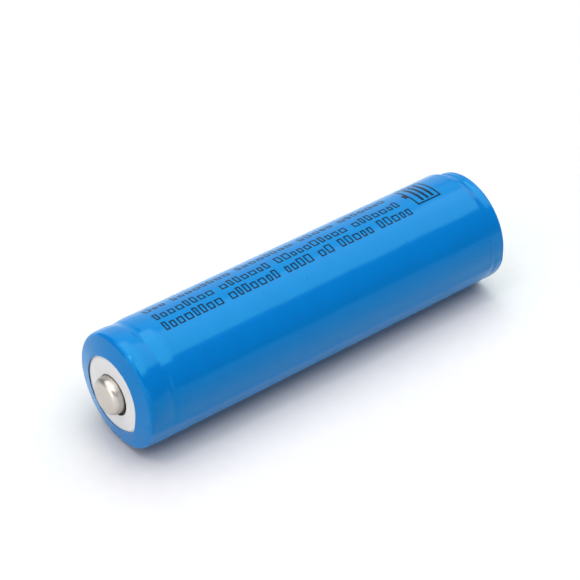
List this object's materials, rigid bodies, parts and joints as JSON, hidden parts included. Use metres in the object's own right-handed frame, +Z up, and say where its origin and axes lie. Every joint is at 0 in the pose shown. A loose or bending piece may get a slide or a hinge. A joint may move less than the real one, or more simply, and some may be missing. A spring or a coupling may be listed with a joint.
{
  "type": "cylindrical battery cell",
  "caption": "Protected button-top lithium-ion cell in a glossy shrink sleeve, with its header, winding, can and protection board as separate pieces.",
  "frame": {"origin": "middle of the cell's box, on the cell's own axis", "axes": "+X along the cell's axis towards the negative contact, -X towards the positive button, +Z up as it lies on a table"},
  "size_m": [0.07, 0.0184, 0.0184],
  "materials": {
    "sleeve_blue": "glossy blue shrink film",
    "washer_white": "pale pressed fibre",
    "button_nickel": "satin nickel plating",
    "contact_nickel": "satin nickel plating",
    "can_steel": "nickel-plated drawn steel",
    "header_nickel": "nickel-plated stamping",
    "strip_nickel": "rolled nickel strip",
    "aluminium": "rolled aluminium",
    "gasket_plastic": "moulded polypropylene",
    "ptc_polymer": "carbon-filled polymer",
    "cathode_coating": "dark coated foil",
    "anode_coating": "graphite coated foil",
    "separator_film": "white porous film",
    "fibre_insulator": "pressed fibre",
    "winding_tape": "amber tape",
    "board_laminate": "green solder mask",
    "chip_plastic": "moulded chip body",
    "chip_ceramic": "fired ceramic",
    "spacer_plastic": "black moulded plastic"
  },
  "bodies": {
    "root": {"shrink_sleeve": "sleeve_blue", "insulator_washer": "washer_white", "button_cap": "button_nickel", "header_cap": "header_nickel", "ptc_ring": "ptc_polymer", "vent_disc": "aluminium", "cid_insulator_ring": "gasket_plastic", "cid_lower_disc": "aluminium", "header_gasket": "gasket_plastic", "steel_can": "can_steel", "positive_tab": "aluminium", "top_insulator": "fibre_insulator", "cathode_sheet": "cathode_coating", "anode_sheet": "anode_coating", "separator_inner": "separator_film", "separator_outer": "separator_film", "centre_pin": "can_steel", "closing_tape": "winding_tape", "bottom_insulator": "fibre_insulator", "negative_tab": "strip_nickel", "board_insulator": "fibre_insulator", "negative_link": "strip_nickel", "board_spacer": "spacer_plastic", "protection_board": "board_laminate", "mosfet_pair": "chip_plastic", "protection_chip": "chip_plastic", "sense_resistor": "chip_plastic", "supply_resistor": "chip_plastic", "filter_capacitor": "chip_ceramic", "sense_strip": "strip_nickel", "sense_strip_tape": "winding_tape", "negative_contact": "contact_nickel"}
  },
  "joints": []
}
